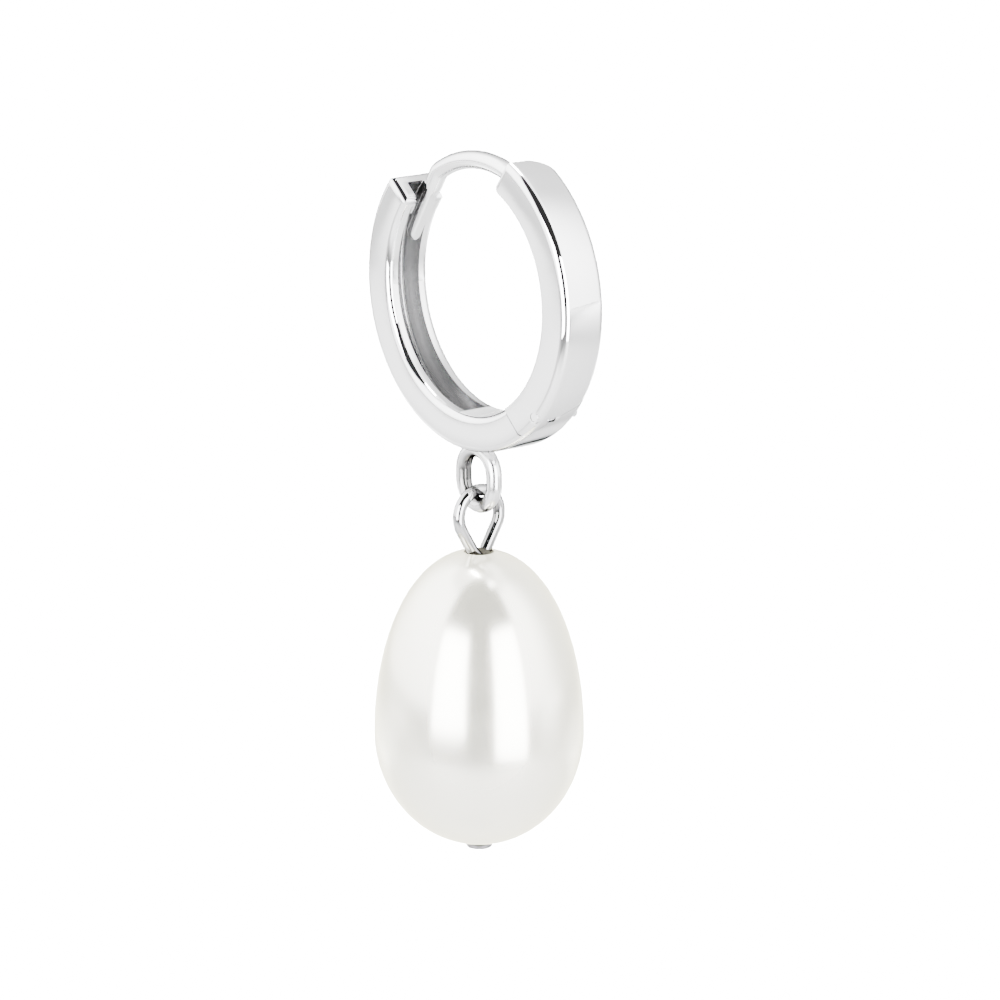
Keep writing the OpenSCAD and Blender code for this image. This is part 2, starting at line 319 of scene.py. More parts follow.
# %% Finishes
# Painted shade: a near-black tone laid inside the loops, in the slot and along the channel's near wall.
TARNISH_TONE = (0.05, 0.048, 0.046, 1)
PICKLED_TONE, PICKLED_ROUGH = (0.9, 0.9, 0.9, 1), 0.5
# The raw tones are painted shade: grey and streaked for the channel, near-black for the pearl's hole. Only
# their roughness is the raw finish.
RAW_SILVER, RAW_SILVER_ROUGH = (0.56, 0.56, 0.565), 0.24
RAW_HOLE, RAW_HOLE_ROUGH = (0.05, 0.048, 0.045), 0.7
STREAK_STRETCH, STREAK_STOPS = (120.0, 3200.0, 120.0), ((0.36, 0.62), (0.64, 1.4))
NACRE_STOPS = ((0.35, (0.93, 0.915, 0.84, 1)), (0.65, (0.98, 0.955, 0.87, 1)))


def worn_places(tree, shader, polished, rough, raw_tone, raw_rough):
    """Feeds tone and roughness: polished, or raw with painted shade in its streaked tone, pickled, or
    near-black painted shade where the piece is marked so.
    """
    raw, pickled, tarnish = [
        add_node(tree, "ShaderNodeAttribute", attribute_name=name).outputs["Fac"]
        for name in ("raw", "pickled", "tarnish")
    ]
    streaks = add_node(tree, "ShaderNodeValToRGB")
    for stop, (position, share) in zip(streaks.color_ramp.elements, STREAK_STOPS):
        stop.position, stop.color = position, (*[share * t for t in raw_tone], 1)
    # Painted shade with painted reflections: darker streaks in the raw tone.
    feed(tree, (piece_noise(tree, 1.0, 3.0, stretch=STREAK_STRETCH), streaks.inputs["Fac"]))
    tone = mixed(tree, "RGBA", raw, polished, streaks.outputs["Color"])
    tone = mixed(tree, "RGBA", pickled, tone, PICKLED_TONE)
    # Painted shade: near-black where the piece is marked with it.
    tone = mixed(tree, "RGBA", tarnish, tone, TARNISH_TONE)
    haze = mixed(tree, "FLOAT", pickled, mixed(tree, "FLOAT", raw, rough, raw_rough), PICKLED_ROUGH)
    feed(tree, (tone, shader.inputs["Base Color"]), (haze, shader.inputs["Roughness"]))


def polished_metal(name, tint, smooth, hazy, line_depth):
    """Bright metal: haze in patches, and fine lines and soft waves as bumps."""
    finish, tree, shader = new_finish(name, {"Metallic": 1.0, "Specular Tint": (0, 0, 0, 1)})
    haze = piece_noise(tree, 420.0, 4.0, 0.6)
    tone = mixed(tree, "RGBA", haze, (*[t * 0.97 for t in tint], 1), (*tint, 1))
    rough = fade(tree, haze, 0.3, 0.7, smooth, hazy, "LINEAR")
    worn_places(tree, shader, tone, rough, RAW_SILVER, RAW_SILVER_ROUGH)
    lines = add_node(tree, "ShaderNodeBump", {"Strength": line_depth, "Distance": 0.01 * MM})
    waves = add_node(tree, "ShaderNodeBump", {"Strength": 1.0, "Distance": 0.04 * MM})
    feed(
        tree,
        (piece_noise(tree, 2500.0, 2.0), lines.inputs["Height"]),
        (piece_noise(tree, 260.0, 1.0), waves.inputs["Height"]),
        (lines.outputs["Normal"], waves.inputs["Normal"]),
        (waves.outputs["Normal"], shader.inputs["Normal"]),
    )
    return finish


silver = polished_metal("mirror_silver", (0.88, 0.88, 0.885), 0.02, 0.07, 0.12)
# The drawn wire is rougher, and its much darker tone is painted shade: a shaded copy of the mirror silver.
wire_silver = polished_metal("drawn_silver", (0.46, 0.46, 0.465), 0.03, 0.09, 0.2)

nacre, nacre_tree, nacre_shader = new_finish("pearl_nacre", {
    "Metallic": 0.84, "Specular Tint": (0.85, 0.82, 0.7, 1),
    "Sheen Weight": 1.0, "Sheen Roughness": 0.65, "Sheen Tint": (1.0, 0.96, 0.72, 1),
})
nacre_tone = add_node(nacre_tree, "ShaderNodeValToRGB")
for stop, (position, tone) in zip(nacre_tone.color_ramp.elements, NACRE_STOPS):
    stop.position, stop.color = position, tone
feed(nacre_tree, (piece_noise(nacre_tree, 160.0, 3.0), nacre_tone.inputs["Fac"]))
nacre_rough = fade(nacre_tree, piece_noise(nacre_tree, 900.0, 4.0), 0.0, 1.0, 0.16, 0.22, "LINEAR")
worn_places(nacre_tree, nacre_shader, nacre_tone.outputs["Color"], nacre_rough, RAW_HOLE, RAW_HOLE_ROUGH)
print("finishes:", silver.name, wire_silver.name, nacre.name)

# %% [markdown]
# Three rules make most of this earring. A band is one section carried along an arc, a wire is a circle
# carried along a path, and the pearl is a curve turned round an axis. Each rule is a small Geometry Nodes
# tree with named sizes, so the same tree serves every band and every wire. The helpers here make a tree,
# set its sizes by their identifiers and bake the result into a plain mesh.

# %% Helpers for the trees


def new_tree(name, sizes):
    """A Geometry Nodes tree with named inputs: sizes maps a name to (socket kind, value)."""
    tree = bpy.data.node_groups.new(name, "GeometryNodeTree")
    tree.interface.new_socket("Geometry", in_out="INPUT", socket_type="NodeSocketGeometry")
    tree.interface.new_socket("Geometry", in_out="OUTPUT", socket_type="NodeSocketGeometry")
    for label, (kind, value) in sizes.items():
        socket = tree.interface.new_socket(label, in_out="INPUT", socket_type="NodeSocket" + kind)
        if value is not None:
            socket.default_value = value
    return tree, tree.nodes.new("NodeGroupInput").outputs, tree.nodes.new("NodeGroupOutput")


def end_tree(tree, geometry, given, out):
    """The last nodes of a tree: smooth faces, realized, with their material."""
    smooth = add_node(tree, "GeometryNodeSetShadeSmooth")
    real = add_node(tree, "GeometryNodeRealizeInstances")
    finish = add_node(tree, "GeometryNodeSetMaterial")
    feed(
        tree,
        (geometry, smooth.inputs["Geometry"]),
        (smooth.outputs[0], real.inputs["Geometry"]),
        (real.outputs[0], finish.inputs["Geometry"]),
        (given["Finish"], finish.inputs["Material"]),
        (finish.outputs[0], out.inputs["Geometry"]),
    )


def bake(thing):
    """The evaluated shape of an object as a plain mesh; the object itself is removed."""
    evaluated = thing.evaluated_get(bpy.context.evaluated_depsgraph_get())
    mesh = bpy.data.meshes.new_from_object(evaluated)
    bpy.data.objects.remove(thing)
    return mesh


def grow(tree, sizes, start=None):
    """Runs a tree on a start object or on nothing; a size that is not given keeps the tree's own value."""
    thing = start or new_object(new_mesh("seed", [], []), "seed")
    modifier = thing.modifiers.new("rule", "NODES")
    modifier.node_group = tree
    for item in tree.interface.items_tree:
        if item.in_out == "INPUT" and item.name in sizes:
            modifier[item.identifier] = sizes[item.name]
    return bake(thing)


def span(mesh):
    """Lowest and highest corner of a mesh, rounded, for the printed notes."""
    points = [v.co for v in mesh.vertices]
    return [[round(f(p[i] for p in points), 3) for i in range(3)] for f in (min, max)]


# %% [markdown]
# The band of the hoop is a rounded rectangle. Its outer edges are softly rolled, its inner edges nearly
# sharp. In the flat drawing the hoop lies in XY with its axis along Z, and the section is carried along an
# arc. The fillet radius is a field: the corners on the outside get one value and those inside another.

# %% Tree for a band
band_tree, given, out = new_tree("band", {
    "Outer Radius": ("Float", HOOP_R),
    "Thickness": ("Float", HOOP_R - INNER_R),
    "Width": ("Float", 2 * HALF_WIDTH),
    "Outer Edge": ("Float", 0.26),
    "Inner Edge": ("Float", 0.1),
    "From Angle": ("Float", 0.0),
    "To Angle": ("Float", 1.0),
    "Steps": ("Int", 200),
    "Edge Steps": ("Int", 8),
    "Finish": ("Material", None),
})
half_thick = math_node(band_tree, "MULTIPLY", given["Thickness"], 0.5)
arc = add_node(band_tree, "GeometryNodeCurveArc", mode="RADIUS")
upright = add_node(band_tree, "GeometryNodeSetCurveNormal", mode="Z_UP")
section = add_node(band_tree, "GeometryNodeCurvePrimitiveQuadrilateral", mode="RECTANGLE")
corner = add_node(band_tree, "GeometryNodeFilletCurve", mode="POLY")
where = add_node(band_tree, "GeometryNodeInputPosition")
parts = add_node(band_tree, "ShaderNodeSeparateXYZ")
outside = math_node(band_tree, "GREATER_THAN", parts.outputs["X"], 0.0)
carry = add_node(band_tree, "GeometryNodeCurveToMesh", {"Fill Caps": True})
feed(
    band_tree,
    (given["Steps"], arc.inputs["Resolution"]),
    (math_node(band_tree, "SUBTRACT", given["Outer Radius"], half_thick), arc.inputs["Radius"]),
    (given["From Angle"], arc.inputs["Start Angle"]),
    (math_node(band_tree, "SUBTRACT", given["To Angle"], given["From Angle"]), arc.inputs["Sweep Angle"]),
    (arc.outputs[0], upright.inputs["Curve"]),
    (given["Thickness"], section.inputs["Width"]),
    (given["Width"], section.inputs["Height"]),
    (section.outputs[0], corner.inputs["Curve"]),
    (given["Edge Steps"], input_of(corner, "Count")),
    (where.outputs[0], parts.inputs[0]),
    (mixed(band_tree, "FLOAT", outside, given["Inner Edge"], given["Outer Edge"]), corner.inputs["Radius"]),
    (upright.outputs[0], carry.inputs["Curve"]),
    (corner.outputs[0], carry.inputs["Profile Curve"]),
)
end_tree(band_tree, carry.outputs[0], given, out)


def band(from_deg, to_deg, **sizes):
    """A piece of band between two angles of the hoop, one step to a degree."""
    labels = {key.replace("_", " ").title(): value for key, value in sizes.items()}
    return grow(band_tree, {
        "From Angle": math.radians(from_deg), "To Angle": math.radians(to_deg),
        "Steps": max(8, round(abs(to_deg - from_deg)) + 1), "Finish": silver, **labels,
    })


trial = band(0, 90)
print("quarter of the band:", span(trial), len(trial.polygons), "faces")

# %% [markdown]
# A silversmith saws, files and solders: pieces of band lose the metal of the hinge seam, and then knuckle
# and post are soldered on. The Boolean modifier does the same here. Every blank and every cutter is a
# closed mesh. After the last cut only the creases over thirty degrees stay sharp, and the normals are
# weighted by area, so that the flat sides mirror as flat sides.

# %% Helpers for sawing and soldering


def join_shapes(base, other, operation):
    """Base with the other mesh cut away (DIFFERENCE) or soldered on (UNION)."""
    work, tool = new_object(base), new_object(other, "tool")
    step = work.modifiers.new("step", "BOOLEAN")
    step.operation, step.solver, step.object = operation, "MANIFOLD", tool
    mesh = bake(work)
    bpy.data.objects.remove(tool)
    return mesh


def cut_away(base, *tools):
    """Base with each tool cut out of it."""
    for tool in tools:
        base = join_shapes(base, tool, "DIFFERENCE")
    return base


def solder_on(base, *pieces):
    """Base with each piece fused to it."""
    for piece in pieces:
        base = join_shapes(base, piece, "UNION")
    return base


def closed_piece(rings, seat=None):
    """A closed mesh over rings of points, each with as many points as the others."""
    count = len(rings[0])
    faces = [
        (row + i, row + (i + 1) % count, row + (i + 1) % count + count, row + i + count)
        for row in range(0, count * (len(rings) - 1), count) for i in range(count)
    ]
    last = count * (len(rings) - 1)
    faces += [tuple(reversed(range(count))), tuple(range(last, last + count))]
    mesh = new_mesh("closed", [point for ring in rings for point in ring], faces)
    if seat is not None:
        mesh.transform(seat)
    return outward(mesh)


def slab(outline, low, high, seat=None):
    """A closed prism over an outline of (x, y) points, from height low to high along Z."""
    return closed_piece([[(x, y, z) for x, y in outline] for z in (low, high)], seat)


def outward(mesh):
    """The same mesh with doubles merged and every face pointing outwards."""
    work = bmesh.new()
    work.from_mesh(mesh)
    bmesh.ops.remove_doubles(work, verts=work.verts, dist=1e-5)
    bmesh.ops.recalc_face_normals(work, faces=work.faces)
    work.to_mesh(mesh)
    work.free()
    return mesh


def block(low, high, seat=None):
    """A box between two corners."""
    (x0, y0, z0), (x1, y1, z1) = low, high
    return slab([(x0, y0), (x1, y0), (x1, y1), (x0, y1)], z0, z1, seat)


def turned(profile, seat=None, sides=96):
    """A closed round piece about Z from (radius, height) pairs, lowest first."""
    circle = [(math.cos(2 * math.pi * i / sides), math.sin(2 * math.pi * i / sides)) for i in range(sides)]
    return closed_piece([[(x * r, y * r, z) for x, y in circle] for r, z in profile], seat)


def cone(low_radius, high_radius, low, high, seat=None, sides=96):
    """A closed cone about Z between two heights; equal radii make a rod."""
    return turned([(low_radius, low), (high_radius, high)], seat, sides)


def turn_to(degrees, radius=0.0):
    """Place on the flat hoop: X outwards, Y along the band, Z across it."""
    return Matrix.Rotation(math.radians(degrees), 4, "Z") @ Matrix.Translation((radius, 0, 0))


stand_up = Matrix.Translation((0, 0, HOOP_Z)) @ Matrix.Rotation(math.radians(90), 4, "X")

# %% [markdown]
# The hinge joins the halves with an oblique seam. On the near side the front half runs past the pin in a
# tongue, and on the far side the back half does. Where they pass each other, both ends are cones round
# the pin, so the hoop can open without rubbing. The seam is one plan for both halves, drawn with a hair of
# air between them.

# %% Hinge seam
HINGE_DEG, HINGE_RADIUS, PIN_D, KNUCKLE_R = -43.5, 6.22, 0.34, 0.265
SEAM_AIR, ROOM_AIR, PIN_AIR = 0.02, 0.05, 0.012
SEAM_SPLIT, NEAR_SLOPE, FAR_SLOPE, FAR_START = 0.1, 1.36, 0.6, 0.2
REACH, CUT_HALF, END_SPAN = 4.0, HALF_WIDTH + 1, (3.0, 8.0)
at_pin = turn_to(HINGE_DEG, HINGE_RADIUS)
over_plan = Matrix(((0, 0, 1, 0), (1, 0, 0, 0), (0, 1, 0, 0), (0, 0, 0, 1)))


def seam_plan(near, far, level):
    """Plan of the back side of the seam: x along the band, y across it."""
    return [
        (-3 * REACH, -CUT_HALF), (far + FAR_START + FAR_SLOPE * (CUT_HALF + SEAM_SPLIT), -CUT_HALF),
        (far + FAR_START, SEAM_SPLIT + level), (near, SEAM_SPLIT + level),
        (near - NEAR_SLOPE * (CUT_HALF - SEAM_SPLIT), CUT_HALF), (-3 * REACH, CUT_HALF),
    ]


def near_cone(grow_by):
    """Cone that rounds the near tongue of the front half."""
    run = CUT_HALF - SEAM_SPLIT
    return cone(grow_by + 1e-4, grow_by + NEAR_SLOPE * run, SEAM_SPLIT, CUT_HALF, at_pin)


def far_cone(grow_by):
    """Cone that rounds the far tongue of the back half."""
    tip = grow_by + FAR_START
    return cone(tip + FAR_SLOPE * (CUT_HALF + SEAM_SPLIT), tip, -CUT_HALF, SEAM_SPLIT - SEAM_AIR, at_pin)


def knuckle(near_side, radius, air):
    """One knuckle of the hinge, or with air round it the room for that knuckle."""
    low, high = (SEAM_SPLIT - air, HALF_WIDTH) if near_side else (-HALF_WIDTH, SEAM_SPLIT + air)
    return cone(radius, radius, low, high, at_pin)


def pin_hole():
    """The drilled hole right through both halves."""
    return cone(PIN_D / 2 + PIN_AIR, PIN_D / 2 + PIN_AIR, -2 * HALF_WIDTH, 2 * HALF_WIDTH, at_pin)


def end_corner(radius, seat, side, across):
    """What rounds one corner of a band end; the band lies at side * y from the end."""
    turns = [math.radians(90 * i / 12) for i in range(13)]
    flank = HALF_WIDTH - radius
    outline = [(side * radius * (1 - math.sin(t)), across * (flank + radius * math.cos(t))) for t in turns]
    outline += [(-side, across * flank), (-side, across * CUT_HALF), (side * radius, across * CUT_HALF)]
    return slab(outline, *END_SPAN, seat @ over_plan)


def end_line(outer_deg, inner_deg):
    """Seat of a band end, local X along its face, and how far the hoop's centre lies from that line."""
    outer, inner = turn_to(outer_deg, HOOP_R).translation, turn_to(inner_deg, INNER_R).translation
    turn = math.atan2(outer.y - inner.y, outer.x - inner.x)
    offset = math.sin(turn) * outer.x - math.cos(turn) * outer.y
    return Matrix.Rotation(turn, 4, "Z") @ Matrix.Translation((0, -offset, 0)), offset


def round_off(radius, end, side, outer):
    """What rounds the outer or the inner corner of a band end, seen along the axis of the hoop."""
    seat, offset = end
    offset *= -side
    rim, turn = (HOOP_R, -1) if outer else (INNER_R, 1)
    away = rim + turn * radius
    lean = math.degrees(math.asin((radius + offset) / away))
    centre = Vector((away * cosine(lean), -radius))
    last, far = -lean if outer else 180 - lean, rim - turn
    turns = [90 + (last - 90) * i / 16 for i in range(17)]
    outline = [centre + radius * Vector((cosine(a), cosine(90 - a))) for a in turns]
    outline += [Vector((far * cosine(lean), offset - far * cosine(90 - lean)))]
    outline += [Vector((far, 1)), Vector((centre.x, 1))]
    return slab([(x, -side * y) for x, y in outline], -CUT_HALF, CUT_HALF, seat)


print("seam: hinge pin at", [round(v, 3) for v in (stand_up @ at_pin).translation])

# %% [markdown]
# Wires come next, because the front half ends in one: the ear post. A wire is a circle carried along a
# path. The path is a plain curve whose own point radius may swell or shrink the wire. That gives the solder
# collar and the rounded ends without extra meshes. The tree takes the curve as its start.

# %% Tree for a wire
wire_tree, given, out = new_tree("wire", {
    "Wire Diameter": ("Float", 0.5),
    "Sides": ("Int", 40),
    "Finish": ("Material", None),
})
circle = add_node(wire_tree, "GeometryNodeCurvePrimitiveCircle", mode="RADIUS")
swell = add_node(wire_tree, "GeometryNodeInputRadius")
draw = add_node(wire_tree, "GeometryNodeCurveToMesh", {"Fill Caps": True})
feed(
    wire_tree,
    (given["Sides"], circle.inputs["Resolution"]),
    (math_node(wire_tree, "MULTIPLY", given["Wire Diameter"], 0.5), input_of(circle, "Radius")),
    (given["Geometry"], draw.inputs["Curve"]),
    (circle.outputs[0], draw.inputs["Profile Curve"]),
    (swell.outputs[0], draw.inputs["Scale"]),
)
end_tree(wire_tree, draw.outputs[0], given, out)


def wire(path, diameter, finish, closed=False, sides=40):
    """A wire along a path of (point, swell) pairs."""
    data = bpy.data.curves.new("path", "CURVE")
    data.dimensions = "3D"
    line = data.splines.new("POLY")
    line.points.add(len(path) - 1)
    for point, (place, fat) in zip(line.points, path):
        point.co = (*place, 1)
        point.radius = fat
    line.use_cyclic_u = closed
    sizes = {"Wire Diameter": diameter, "Sides": sides, "Finish": finish}
    return outward(grow(wire_tree, sizes, new_object(data, "path")))


def rounded_end(start, out_of_wire, radius, steps=8):
    """Points that round off the end of a wire at start, along a direction out of the wire."""
    turns = [math.radians(88 * (i + 1) / steps) for i in range(steps)]
    return [(start + out_of_wire * radius * math.sin(t), math.cos(t)) for t in turns]


def soft_corners(points, radius, steps=10):
    """A path whose inner corners are rounded by arcs of about this radius."""
    path = [points[0]]
    for before, here, after in zip(points, points[1:], points[2:]):
        back, ahead = (before - here).normalized(), (after - here).normalized()
        turn = math.pi - back.angle(ahead)
        cut = min(radius * math.tan(turn / 2), 0.45 * (before - here).length, 0.45 * (after - here).length)
        a, b = here + back * cut, here + ahead * cut
        path += [a.lerp(here, t).lerp(here.lerp(b, t), t) for t in (i / steps for i in range(steps + 1))]
    return path + [points[-1]]


def soft_step(value, low, high):
    """Nothing at low, one at high, smooth between."""
    share = min(1.0, max(0.0, (value - low) / (high - low)))
    return share * share * (3 - 2 * share)


# %% [markdown]
# The ear post leaves the end of the front half as a round wire. It follows the hoop over the gap, bends
# down and ends in a flattened tip that clicks into the slot of the catch. A goldsmith flattens the tip
# with pliers. In code the points beyond the shoulder are pressed towards the middle of the wire.

# %% Ear post
FRONT_END_DEG, BACK_END_DEG = 64.0, 138.5
POST_D, POST_ARC_R, POST_BEND_DEG, POST_BEND_R = 0.75, 5.45, 122.0, 1.2
POST_ROOT_DEG, COLLAR_DEG, COLLAR_RUN, COLLAR_SWELL = FRONT_END_DEG - 4, FRONT_END_DEG + 2.5, 5.5, 0.3
TIP_T, TIP_SLIM, TIP_END_DEG, TIP_END_R = 0.5, 0.3, 158.0, 4.95
TIP_FROM, TIP_EASE, NOTCH_AT, NOTCH_R = 0.2, 0.2, 0.74, 0.13


def on_circle(radius, degrees):
    """A point of the flat hoop."""
    return Vector((radius * math.cos(math.radians(degrees)), radius * math.sin(math.radians(degrees)), 0.0))


bend, tip_end = on_circle(POST_ARC_R, POST_BEND_DEG), on_circle(TIP_END_R, TIP_END_DEG)
tip_line = (tip_end - bend).normalized()
tip_run = (tip_end - bend).length
post_arc = [on_circle(POST_ARC_R, POST_ROOT_DEG + i) for i in range(int(POST_BEND_DEG - POST_ROOT_DEG) - 1)]
post_path = post_arc[:-1] + soft_corners([post_arc[-1], bend, tip_end], POST_BEND_R)[1:]
post_path = post_path[:-1] + [post_path[-2].lerp(tip_end, i / 24) for i in range(1, 25)]


def collar(point):
    """How much the solder swells the post near the end of the band."""
    past = math.degrees(math.atan2(point.y, point.x)) - COLLAR_DEG
    return 1 + COLLAR_SWELL * (1 - min(1.0, max(0.0, past / COLLAR_RUN)) ** 0.6)


post_points = [(p, collar(p)) for p in post_path] + rounded_end(tip_end, tip_line, POST_D / 2)
post = wire(post_points, POST_D, silver, sides=48)
press = Vector((-tip_line.y, tip_line.x, 0))
for vertex in post.vertices:
    from_bend = vertex.co - bend
    along = from_bend.dot(tip_line) / tip_run
    if along > TIP_FROM and from_bend.length < tip_run + 1:
        off = from_bend.dot(press)
        ease = min(1.0, (along - TIP_FROM) / TIP_EASE)
        limit = POST_D / 2 + (TIP_T - POST_D) / 2 * soft_step(ease, 0.0, 1.0)
        vertex.co += press * (max(-limit, min(limit, off)) - off)
        vertex.co.z *= 1 - TIP_SLIM * ease
notch_seat = Matrix.Translation(bend + tip_line * NOTCH_AT * tip_run - press * TIP_T / 2)
post = cut_away(post, cone(NOTCH_R, NOTCH_R, -1, 1, notch_seat, sides=32))
print("ear post:", span(post), len(post.polygons), "faces; tip is", TIP_T, "mm thick")

# %% [markdown]
# The front half is one solid bar of the band, sawn to the seam at its lower end. Its upper end leans a
# little: it reaches further on the inside, where the post leaves it. The corners of that end are rounded,
# most of all the one at the far side. The knuckle and the post are soldered on. The room for the other
# knuckle, the pin's hole and a small dimple beside the pin are cut last.

# %% Front half
FRONT_FROM_DEG, FRONT_OUTER_DEG, FRONT_INNER_DEG = -74.0, 64.5, 67.7
DIMPLE_R, DIMPLE_ACROSS = 0.13, 0.25

front_end = end_line(FRONT_OUTER_DEG, FRONT_INNER_DEG)
front_tongue = cut_away(block((-0.01, -REACH, -CUT_HALF), (REACH, 0, CUT_HALF), at_pin), near_cone(0))
front = cut_away(
    band(FRONT_FROM_DEG, FRONT_INNER_DEG + 2, outer_edge=0.32),
    slab(seam_plan(0, SEAM_AIR, SEAM_AIR), -REACH, 0, at_pin @ over_plan),
    front_tongue,
    far_cone(SEAM_AIR),
    block((END_SPAN[0], 0, -CUT_HALF), (END_SPAN[1], 2, CUT_HALF), front_end[0]),
    end_corner(0.16, front_end[0], -1, 1),
    end_corner(1.4, front_end[0], -1, -1),
    round_off(0.1, front_end, -1, True),
    round_off(0.42, front_end, -1, False),
)
front = solder_on(front, knuckle(True, KNUCKLE_R, 0), post)
look_out = Matrix.Rotation(math.radians(90), 4, "Y")
dimple_seat = at_pin @ Matrix.Translation((0, 0, SEAM_SPLIT + DIMPLE_ACROSS)) @ look_out
front = cut_away(
    front, knuckle(False, KNUCKLE_R + ROOM_AIR, ROOM_AIR), pin_hole(),
    cone(DIMPLE_R, DIMPLE_R, KNUCKLE_R / 2, 1, dimple_seat, sides=32),
)
print("front half:", span(front), len(front.polygons), "faces")

# %% [markdown]
# The back half is a channel on its inside: the maker saves weight there, and the tip of the post needs
# the room. A solid catch block with a slot closes the top, and a solid block carries the hinge below.
# The channel is cut with the band tree itself, run with a smaller section and rounded inner corners.

# %% Back half
CHANNEL_W, CHANNEL_R, CHANNEL_T, CHANNEL_FROM, CHANNEL_TO = 1.1, 6.1, 2.1, 147.0, 264.0
SLOT_W, SLOT_R, SLOT_T = 0.87, 6.0, 2.0

back_end = end_line(BACK_END_DEG, BACK_END_DEG)
seam_room = cut_away(
    block((-REACH, -2 * REACH, -CUT_HALF), (REACH, 2 * REACH, CUT_HALF), at_pin),
    slab(seam_plan(-SEAM_AIR, 0, -SEAM_AIR), -REACH - 1, 0, at_pin @ over_plan),
    block((-0.01, -3 * REACH, -CUT_HALF - 1), (REACH + 1, 0, CUT_HALF + 1), at_pin),
    far_cone(0),
)
back = cut_away(
    band(BACK_END_DEG, 360 + HINGE_DEG + 15, inner_edge=0.3),
    seam_room,
    near_cone(SEAM_AIR),
    end_corner(0.35, turn_to(BACK_END_DEG), 1, 1),
    end_corner(0.35, turn_to(BACK_END_DEG), 1, -1),
    round_off(0.36, back_end, 1, True),
    round_off(0.4, back_end, 1, False),
)
back = solder_on(back, knuckle(False, KNUCKLE_R, 0))
channel = band(
    CHANNEL_FROM, CHANNEL_TO,
    outer_radius=CHANNEL_R, thickness=CHANNEL_T, width=CHANNEL_W, outer_edge=0.14, inner_edge=0.01,
)
slot = band(
    BACK_END_DEG - 5, CHANNEL_FROM + 1,
    outer_radius=SLOT_R, thickness=SLOT_T, width=SLOT_W, outer_edge=0.08, inner_edge=0.01,
)
back = cut_away(back, channel, slot, knuckle(True, KNUCKLE_R + ROOM_AIR, ROOM_AIR), pin_hole())
print("back half:", span(back), len(back.polygons), "faces")

# %% [markdown]
# The ring under the hoop is a short length of wire, stretched a little and closed. It lies in the plane of
# the hoop and is soldered to its lowest point. The solder runs up in a small fillet, turned here as a cone
# with a hollow flank.

# %% Drop ring
DROP_X, RING_WIRE_D, RING_R, RING_STRETCH = -0.3, 0.65, 1.0, 0.35
RING_TOP_Z = HOOP_Z - HOOP_R + 0.17 - RING_WIRE_D / 2 - RING_R
RING_BOTTOM_Z = RING_TOP_Z - RING_STRETCH
RING_WIRE_Z = RING_BOTTOM_Z - RING_R
SOLDER_Z = HOOP_Z - HOOP_R + 0.13
SOLDER_PROFILE = ((0.30, -0.36), (0.34, -0.30), (0.40, -0.22), (0.48, -0.16), (0.50, 0.0))


def half_ring(level, start):
    """Half a turn of the ring round one of its two centres."""
    turns = [start + math.pi * i / 48 for i in range(49)]
    return [Vector((DROP_X + RING_R * math.cos(t), 0, level + RING_R * math.sin(t))) for t in turns]


ring_path = half_ring(RING_TOP_Z, 0.0) + half_ring(RING_BOTTOM_Z, math.pi)
ring = wire([(p, 1.0) for p in ring_path], RING_WIRE_D, silver, closed=True, sides=48)
drop_line = Matrix.Translation((DROP_X, 0, 0))
solder = turned([(r, SOLDER_Z + z) for r, z in SOLDER_PROFILE], drop_line, 64)
for piece in (ring, solder):
    piece.transform(stand_up.inverted())
back = solder_on(back, ring, solder)
print("back half with its ring:", span(back), len(back.polygons), "faces")

# %% [markdown]
# The pearl's wire is one head pin: a flat head under the pearl, a stem through it, and above it a teardrop
# loop that closes on itself. It is a single path with soft corners. The loop is an arc that runs out into
# two straight limbs, and the second limb turns in over the hole and goes down as the stem.

# %% Head pin
PIN_WIRE_D, LOOP_R, LINK_AIR = 0.5, 1.06, 0.05
LOOP_Z = RING_WIRE_Z + (RING_WIRE_D + PIN_WIRE_D) / 2 + LINK_AIR - LOOP_R
NECK_H, NECK_HALF, PEARL_AIR = 1.46, 0.38, 0.04
LOOP_BASE_Z = LOOP_Z - NECK_H
tangent = math.acos(LOOP_R / math.hypot(NECK_HALF, NECK_H)) - math.atan2(NECK_H, NECK_HALF)
PEARL_D, PEARL_UPPER, PEARL_LOWER = 8.8, 7.8, 4.85
PEARL_MID_Z = LOOP_BASE_Z - PEARL_AIR - PEARL_UPPER
PEARL_BOTTOM_Z = PEARL_MID_Z - PEARL_LOWER
HEAD_D, HEAD_H, HEAD_EDGE, HEAD_CHAMFER = 1.1, 0.24, 0.09, 0.03
STEM_END_Z = PEARL_BOTTOM_Z - HEAD_H

loop_arc = [
    Vector((DROP_X, LOOP_R * math.cos(t), LOOP_Z + LOOP_R * math.sin(t)))
    for t in (tangent + (math.pi - 2 * tangent) * i / 64 for i in range(65))
]
limb_slope = (LOOP_R * math.cos(tangent) - NECK_HALF) / (NECK_H + LOOP_R * math.sin(tangent))
open_foot = Vector((DROP_X, NECK_HALF - limb_slope * 0.07, LOOP_BASE_Z - 0.07))
turn_in = Vector((DROP_X, -NECK_HALF + 0.02, LOOP_BASE_Z - 0.02))
stem_top = Vector((DROP_X, 0, LOOP_BASE_Z - 0.42))
stem_end = Vector((DROP_X, 0, STEM_END_Z + HEAD_H / 2))
lower_path = soft_corners([loop_arc[-1], turn_in, stem_top, stem_end], 0.22, 8)
stem_rungs = [lower_path[-2].lerp(stem_end, i / 30) for i in range(1, 31)]
pin_path = [open_foot] + loop_arc + lower_path[1:-1] + stem_rungs
pin_wire = wire([(p, 1.0) for p in pin_path], PIN_WIRE_D, wire_silver, sides=48)
head_edge = [
    (HEAD_D / 2 - HEAD_EDGE + HEAD_EDGE * math.cos(t), STEM_END_Z + HEAD_EDGE + HEAD_EDGE * math.sin(t))
    for t in (math.radians(-88 + 88 * i / 8) for i in range(9))
]
head_top = PEARL_BOTTOM_Z - PEARL_AIR
